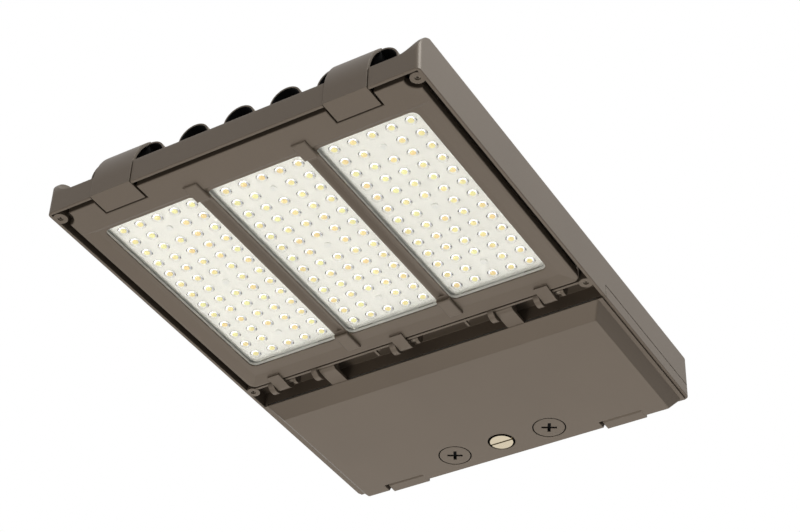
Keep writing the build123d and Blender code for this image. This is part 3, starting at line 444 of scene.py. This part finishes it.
@dataclass(frozen=True)
class DuctedCoat(CastCoat):
    """Powder coat with painted shade: matt black inside the half-round cooling ducts."""

    duct_pitch: float = 0.0435
    duct_radius: float = 0.0134
    axis_height: float = 0.0124
    duct_rear: float = -0.1855

    def material(self) -> bpy.types.Material:
        """Mix the coat with painted-shade black within each duct's radius, up to its round rear end.

        Returns:
            The new material.
        """
        material, tree, surface = self.shader()
        split = tree.split_place()
        wrap = tree.add("ShaderNodeMath", operation="WRAP")
        tree.join(split.outputs["X"], wrap.inputs[0])
        wrap.inputs[1].default_value = self.duct_pitch / 2
        wrap.inputs[2].default_value = -self.duct_pitch / 2
        across = wrap.outputs["Value"]
        lift = tree.math("SUBTRACT", split.outputs["Z"], self.axis_height)
        squares = [tree.math("MULTIPLY", part, part) for part in (across, lift)]
        reach = tree.math("SQRT", tree.math("ADD", *squares))
        inside = tree.math("LESS_THAN", reach, self.duct_radius)
        straight = tree.math("LESS_THAN", split.outputs["Y"], self.duct_rear)
        # Painted shade inside the ducts, where light doesn't reach.
        self.paint_hollow_shade(tree, surface, tree.math("MULTIPLY", inside, straight))
        return material


@dataclass(frozen=True)
class RecessedCoat(CastCoat):
    """Powder coat with painted shade: matt black in the recesses round some spots of the driver door.
    """

    spots: tuple[Triple, ...] = (
        (-0.0488, -0.0323, 0.0157),
        (0.0488, -0.0323, 0.0157),
        (0.0, -0.0323, 0.0128),
    )
    depths: tuple[float, float] = (-0.0353, -0.0319)

    def material(self) -> bpy.types.Material:
        """Paint shade: blacken the coat between two heights and within each spot's radius.

        Returns:
            The new material.
        """
        material, tree, surface = self.shader()
        split = tree.split_place()
        flat = tree.add("ShaderNodeCombineXYZ")
        tree.join(split.outputs["X"], flat.inputs["X"])
        tree.join(split.outputs["Y"], flat.inputs["Y"])
        above = tree.math("GREATER_THAN", split.outputs["Z"], self.depths[0])
        below = tree.math("LESS_THAN", split.outputs["Z"], self.depths[1])
        between = tree.math("MULTIPLY", above, below)
        near: Value = 0.0
        for x, y, radius in self.spots:
            reach = tree.add("ShaderNodeVectorMath", operation="DISTANCE")
            tree.join(flat.outputs["Vector"], reach.inputs[0])
            reach.inputs[1].default_value = (x, y, 0.0)
            inside = tree.math("LESS_THAN", reach.outputs["Value"], radius)
            near = tree.math("MAXIMUM", near, inside)
        # Painted shade in the recesses round the fasteners and the plug.
        self.paint_hollow_shade(tree, surface, tree.math("MULTIPLY", near, between))
        return material


@dataclass(frozen=True)
class ClearLens(Finish):
    """Clear moulded plastic that lets light through to the boards."""

    ior: float = 1.49

    def material(self) -> bpy.types.Material:
        """Make a clear shader that is see-through for shadow rays.

        Returns:
            The new material.
        """
        material, tree, surface = self.shader()
        surface.inputs["Base Color"].default_value = opaque(self.colour)
        surface.inputs["Transmission Weight"].default_value = 1.0
        surface.inputs["IOR"].default_value = self.ior
        path = tree.add("ShaderNodeLightPath")
        clear = tree.add("ShaderNodeBsdfTransparent")
        mix = tree.add("ShaderNodeMixShader")
        output = material.node_tree.nodes["Material Output"]
        tree.join(path.outputs["Is Shadow Ray"], mix.inputs[0])
        tree.join(surface.outputs["BSDF"], mix.inputs[1])
        tree.join(clear.outputs["BSDF"], mix.inputs[2])
        tree.join(mix.outputs["Shader"], output.inputs["Surface"])
        return material


@dataclass(frozen=True)
class Phosphor(Finish):
    """Emitter phosphor whose hue drifts a little from one emitter to the next."""

    warm: Triple = linear(255, 226, 160)
    drift_scale: float = 95.0
    drift_detail: float = 1.0
    drift_range: tuple[float, float] = (0.35, 0.65)

    def material(self) -> bpy.types.Material:
        """Mix the cool and the warm hue by a coarse cloud.

        Returns:
            The new material.
        """
        material, tree, surface = self.shader()
        grain, _ = self.grain(tree, surface)
        place = tree.add("ShaderNodeTexCoord")
        cloud = tree.add("ShaderNodeTexNoise", Scale=self.drift_scale, Detail=self.drift_detail)
        low, high = self.drift_range
        spread = tree.add("ShaderNodeMapRange", From_Min=low, From_Max=high)
        tree.join(place.outputs["Object"], cloud.inputs["Vector"])
        tree.join(cloud.outputs["Fac"], spread.inputs["Value"])
        colour = tree.blend(spread.outputs["Result"], grain.outputs["Colour"], self.warm)
        tree.join(colour, surface.inputs["Base Color"])
        return material


BRONZE_COLOUR = linear(104, 92, 79)
BRONZE_METALLIC = 0.4


class Finishes(Enum):
    """The finishes that the light's pieces wear."""

    # The bronze coats paint a highlight on rounded edges; the cover's and the door's coats also paint
    # shade in hollows.
    BRONZE = CastCoat("bronze_powder_coat", BRONZE_COLOUR, metallic=BRONZE_METALLIC)
    COVER = DuctedCoat("bronze_cover_coat", BRONZE_COLOUR, metallic=BRONZE_METALLIC)
    DOOR = RecessedCoat("bronze_door_coat", BRONZE_COLOUR, metallic=BRONZE_METALLIC)
    ALUMINIUM = Finish(
        "bare_aluminium",
        linear(150, 150, 152),
        metallic=1.0,
        tone_depth=0.05,
        grain_scale=400.0,
    )
    STEEL = Finish(
        "zinc_steel",
        linear(172, 168, 160),
        roughness=0.32,
        metallic=1.0,
        tone_depth=0.05,
        grain_scale=600.0,
    )
    DULL_STEEL = Finish(
        "coated_steel",
        linear(118, 108, 96),
        roughness=0.42,
        metallic=0.6,
        tone_depth=0.08,
        grain_scale=700.0,
    )
    NICKEL = Finish(
        "nickel_plate",
        linear(176, 166, 146),
        roughness=0.26,
        metallic=1.0,
        tone_depth=0.04,
        grain_scale=500.0,
    )
    LENS = ClearLens("clear_lens", (1.0, 1.0, 0.99), roughness=0.03)
    BOARD = Finish("white_solder_mask", linear(234, 233, 225), roughness=0.45, tone_depth=0.03)
    WHITE_SCREW = Finish("white_lacquer", linear(226, 226, 220), roughness=0.4, tone_depth=0.03)
    PACKAGE = Finish("white_emitter_case", linear(240, 236, 216), tone_depth=0.02)
    PHOSPHOR = Phosphor("yellow_phosphor", linear(254, 250, 178), tone_depth=0.04)
    SEAL = Finish("grey_silicone", linear(172, 175, 172), roughness=0.6, tone_depth=0.05)
    LENS_SEAL = Finish("white_silicone", linear(238, 236, 228), tone_depth=0.04)
    RUBBER = Finish("black_rubber", linear(30, 30, 30), roughness=0.7, tone_depth=0.05)
    PAD = Finish("blue_gap_pad", linear(140, 156, 178), roughness=0.7, tone_depth=0.05)
    PLASTIC = Finish("white_nylon", linear(228, 226, 216), roughness=0.45, tone_depth=0.04)
    GEAR = Finish("dark_gear_case", linear(52, 52, 54), roughness=0.45, tone_depth=0.06)


class Wardrobe:
    """Makes each finish once and puts it on pieces."""

    def __init__(self) -> None:
        """Start with no materials made."""
        self.made: dict[Finishes, bpy.types.Material] = {}

    def dress(self, obj: bpy.types.Object, finish: Finishes) -> None:
        """Put a finish on every material slot of a piece.

        Args:
            obj: The piece.
            finish: The finish that it wears.
        """
        if finish not in self.made:
            self.made[finish] = finish.value.material()
        if not obj.material_slots:
            obj.data.materials.append(self.made[finish])
        for slot in obj.material_slots:
            slot.material = self.made[finish]
        LOG.info("%s wears %s", obj.name, finish.value.name)


@dataclass
class SubAssembly:
    """A group of pieces that are built and dressed together."""

    wardrobe: Wardrobe

    def wear(self, finish: Finishes, *nodes: str) -> None:
        """Put one finish on some of the CAD nodes.

        Args:
            finish: The finish that they wear.
            nodes: The nodes' names.
        """
        for node in nodes:
            self.wardrobe.dress(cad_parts[node], finish)

    def place(self, name: str, shape: bmesh.types.BMesh, body: str, slot: str) -> bpy.types.Object:
        """Turn a finished bmesh into a piece that rides on a body.

        Args:
            name: The piece's name.
            shape: The bmesh, which is freed.
            body: The body that the piece moves with.
            slot: The record's material slot; not used.

        Returns:
            The new object.
        """
        obj = mesh_object(name, shape)
        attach(obj, body)
        return obj


@dataclass
class Housing(SubAssembly):
    """The cast housing with its ridged cover, cooling and rear mount."""

    def build(self) -> None:
        """Dress the housing's nodes."""
        self.wear(Finishes.BRONZE, "main_housing", "mount_plate")
        self.wear(Finishes.COVER, "fin_cover")
        self.wear(Finishes.ALUMINIUM, "heat_sink")
        self.wear(Finishes.DULL_STEEL, "corner_screws", "hinge_pins")
        self.wear(Finishes.STEEL, "mount_plate_screws", "cover_screws", "sink_screws")


@dataclass
class Latches(SubAssembly):
    """The two strap latches on the front, with their pins, and black rolls that stand in for the shade
    in the ridge mouths behind the straps.
    """

    strap_place: float = 0.109
    pin_along: float = -0.4564
    pin_up: float = 0.0246
    roll_across: tuple[float, float] = (0.0072, 0.0199)
    roll_radius: float = 0.0055
    roll_sides: int = 32

    def roll(self, side: Side) -> bpy.types.Object:
        """Build the black rolls that close the ridge mouths behind one strap, as a dark stand-in for
        the shade there.

        Args:
            side: The latch's side.

        Returns:
            The new piece.
        """
        shape = bmesh.new()
        middle = self.strap_place if side is Side.RIGHT else -self.strap_place
        inner, outer = self.roll_across
        offset = (inner + outer) / 2
        for center in (middle - offset, middle + offset):
            place = Matrix.Translation((center, self.pin_along, self.pin_up))
            bmesh.ops.create_cone(
                shape,
                cap_ends=True,
                segments=self.roll_sides,
                radius1=self.roll_radius,
                radius2=self.roll_radius,
                depth=outer - inner,
                matrix=place @ Matrix.Rotation(math.pi / 2, 4, "Y"),
            )
        return self.place(f"latch_roll_{side.value}", shape, "housing", "rubber_black")

    def build(self) -> None:
        """Add the rolls and dress both latches."""
        for side in Side:
            # The rolls wear black rubber to stand in for the shade in the ridge mouths.
            self.wardrobe.dress(self.roll(side), Finishes.RUBBER)
            self.wear(Finishes.BRONZE, f"latch_{side.value}")
            self.wear(Finishes.STEEL, f"latch_pin_{side.value}")


@dataclass
class LightEngine(SubAssembly):
    """The boards with their emitters, pads and wiring."""

    module_pitch: float = 0.1013
    column_pitch: float = 0.0171
    row_pitch: float = 0.016
    columns: int = 5
    rows: int = 13
    screw_rows: tuple[int, ...] = (1, 6, 11)
    middle: Triple = (0.0, -0.331, -0.018)
    phosphor_radius: float = 0.0021
    phosphor_thick: float = 0.00042
    phosphor_taper: float = 0.9
    phosphor_sides: int = 14

    def spots(self) -> list[tuple[float, float]]:
        """List the emitters' places about the middle of a board, without those that screws take.

        Returns:
            The place of each emitter across and along the board.
        """
        middle_column = (self.columns - 1) / 2
        middle_row = (self.rows - 1) / 2
        places = []
        for row in range(self.rows):
            for column in range(self.columns):
                if row in self.screw_rows and column == middle_column:
                    continue
                across = (column - middle_column) * self.column_pitch
                places.append((across, (row - middle_row) * self.row_pitch))
        return places

    def phosphor(self, module: Module) -> bpy.types.Object:
        """Build the phosphor caps that stand on one board's emitters and meet the lens.

        Args:
            module: The light module.

        Returns:
            The new piece.
        """
        shape = bmesh.new()
        shift = (module.value * self.module_pitch, 0.0, -self.phosphor_thick / 2)
        base = Vector(self.middle) + Vector(shift)
        for x, y in self.spots():
            bmesh.ops.create_cone(
                shape,
                cap_ends=True,
                segments=self.phosphor_sides,
                radius1=self.phosphor_radius * self.phosphor_taper,
                radius2=self.phosphor_radius,
                depth=self.phosphor_thick,
                matrix=Matrix.Translation(base + Vector((x, y, 0.0))),
            )
        return self.place(f"phosphor_{module.word}", shape, "housing", "emitter_yellow")

    def build(self) -> None:
        """Add the phosphor and dress the light engine's nodes."""
        for module in Module:
            self.wardrobe.dress(self.phosphor(module), Finishes.PHOSPHOR)
            self.wear(Finishes.BOARD, f"led_board_{module.word}")
            self.wear(Finishes.PACKAGE, f"led_chips_{module.word}")
        self.wear(Finishes.PAD, "thermal_pads")
        self.wear(Finishes.WHITE_SCREW, "board_screws")
        self.wear(Finishes.PLASTIC, "board_jumpers", "lead_connector")
        self.wear(Finishes.RUBBER, "led_lead", "lead_grommet")


@dataclass
class OpticalDoor(SubAssembly):
    """The optical door with its lenses and seals."""

    def build(self) -> None:
        """Dress the door's nodes."""
        self.wear(Finishes.BRONZE, "led_door_frame")
        self.wear(Finishes.STEEL, "lens_clips")
        self.wear(Finishes.SEAL, "door_seal")
        for module in Module:
            self.wear(Finishes.LENS, f"lens_{module.word}")
            self.wear(Finishes.LENS_SEAL, f"lens_seal_{module.word}")


@dataclass
class DriverBay(SubAssembly):
    """The driver door with its fasteners, and the gear behind it."""

    def build(self) -> None:
        """Dress the bay's nodes."""
        self.wear(Finishes.DOOR, "driver_door")
        for side in Side:
            self.wear(Finishes.DOOR, f"quarter_turn_{side.value}")
        self.wear(Finishes.NICKEL, "port_plug")
        self.wear(Finishes.SEAL, "bay_seal")
        self.wear(Finishes.ALUMINIUM, "gear_plate")
        self.wear(Finishes.GEAR, "led_driver", "surge_protector")
        self.wear(Finishes.PLASTIC, "terminal_block")
        self.wear(Finishes.STEEL, "fastener_washers", "plug_washer", "plug_nut", "gear_plate_screws")


@dataclass(frozen=True)
class SoftBox:
    """A square area lamp that looks at the light's middle."""

    name: str
    place: Triple
    power: float
    size: float
    colour: Triple

    def build(self, target: Vector) -> None:
        """Add the lamp to the scene.

        Args:
            target: The point that the lamp faces.
        """
        lamp = bpy.data.lights.new(self.name, "AREA")
        lamp.energy = self.power
        lamp.size = self.size
        lamp.color = self.colour
        obj = bpy.data.objects.new(self.name, lamp)
        obj.visible_camera = False
        bpy.context.scene.collection.objects.link(obj)
        facing = (target - Vector(self.place)).to_track_quat("-Z", "Y")
        obj.matrix_world = Matrix.Translation(self.place) @ facing.to_matrix().to_4x4()


@dataclass
class Studio:
    """Camera, lamps, pale floor and white surround."""

    camera_place: Triple = (0.69464, -1.32965, -1.0090)
    azimuth: float = 32.007
    elevation: float = -38.647
    roll: float = 2.081
    lens: float = 86.4
    sensor: float = 36.0
    clip_start: float = 0.01
    white: Triple = (1.0, 1.0, 1.0)
    floor_height: float = -2.5
    floor_size: float = 14.0
    ambient: float = 0.24
    floor_glow: float = 0.29
    boxes: tuple[SoftBox, ...] = (
        SoftBox("key_right", (1.6, -0.5, 1.35), 40.0, 1.2, (0.88, 0.95, 1.0)),
        SoftBox("fill_below_behind", (-0.6, 1.25, -1.3), 17.0, 2.4, (1.0, 0.97, 0.92)),
        SoftBox("edge_below_front", (-0.5, -1.1, -1.7), 8.5, 0.6, (1.0, 0.98, 0.94)),
    )

    def camera(self) -> None:
        """Place the camera at the photograph's viewing angle."""
        angles = (self.azimuth, self.elevation, self.roll)
        turn, rise, tilt = (math.radians(angle) for angle in angles)
        level = math.cos(rise)
        back = Vector((math.sin(turn) * level, -math.cos(turn) * level, math.sin(rise)))
        right = Vector((0, 0, 1)).cross(back).normalized()
        up = back.cross(right)
        rolled_right = math.cos(tilt) * right + math.sin(tilt) * up
        rolled_up = math.cos(tilt) * up - math.sin(tilt) * right
        data = bpy.data.cameras.new("photo_camera")
        data.sensor_fit = "HORIZONTAL"
        data.sensor_width = self.sensor
        data.lens = self.lens
        data.clip_start = self.clip_start
        camera = bpy.data.objects.new("photo_camera", data)
        turned = Matrix((rolled_right, rolled_up, back)).transposed().to_4x4()
        camera.matrix_world = Matrix.Translation(self.camera_place) @ turned
        bpy.context.scene.collection.objects.link(camera)
        bpy.context.scene.camera = camera

    def world(self) -> None:
        """Show white behind the object and light it with a softer level."""
        world = bpy.data.worlds.new("white_surround")
        world.use_nodes = True
        bpy.context.scene.world = world
        tree = ShaderTree(world.node_tree)
        span = tree.math("MULTIPLY", tree.direct_rays(), 1.0 - self.ambient)
        strength = tree.math("ADD", span, self.ambient)
        background = world.node_tree.nodes["Background"]
        background.inputs["Color"].default_value = opaque(self.white)
        tree.join(strength, background.inputs["Strength"])

    def floor(self) -> None:
        """Lay a pale floor well below the object."""
        shape = bmesh.new()
        place = Matrix.Translation((0.0, 0.0, self.floor_height))
        bmesh.ops.create_grid(shape, x_segments=1, y_segments=1, size=self.floor_size / 2, matrix=place)
        floor = mesh_object("pale_floor", shape)
        floor.data.materials.append(self.floor_paint())

    def floor_paint(self) -> bpy.types.Material:
        """Make the floor's pale paint, which reads near white in reflections.

        Returns:
            The new material.
        """
        paint = Finish("pale_floor_paint", linear(242, 242, 242), roughness=0.8)
        material, tree, surface = paint.shader()
        paint.grain(tree, surface)
        glow = tree.math("MULTIPLY", tree.direct_rays(), self.floor_glow)
        surface.inputs["Emission Color"].default_value = opaque(self.white)
        tree.join(glow, surface.inputs["Emission Strength"])
        return material

    def build(self) -> None:
        """Set up the whole studio."""
        middle = (Vector(CAD_BOX[0]) + Vector(CAD_BOX[1])) / 2
        self.camera()
        self.world()
        self.floor()
        for box in self.boxes:
            box.build(middle)
        bpy.context.scene.view_settings.view_transform = "Standard"


def main() -> None:
    """Dress the object and set up the studio."""
    logging.basicConfig(level=logging.INFO)
    wardrobe = Wardrobe()
    for kind in (Housing, Latches, LightEngine, OpticalDoor, DriverBay):
        kind(wardrobe).build()
    Studio().build()


if __name__ == "__main__":
    main()
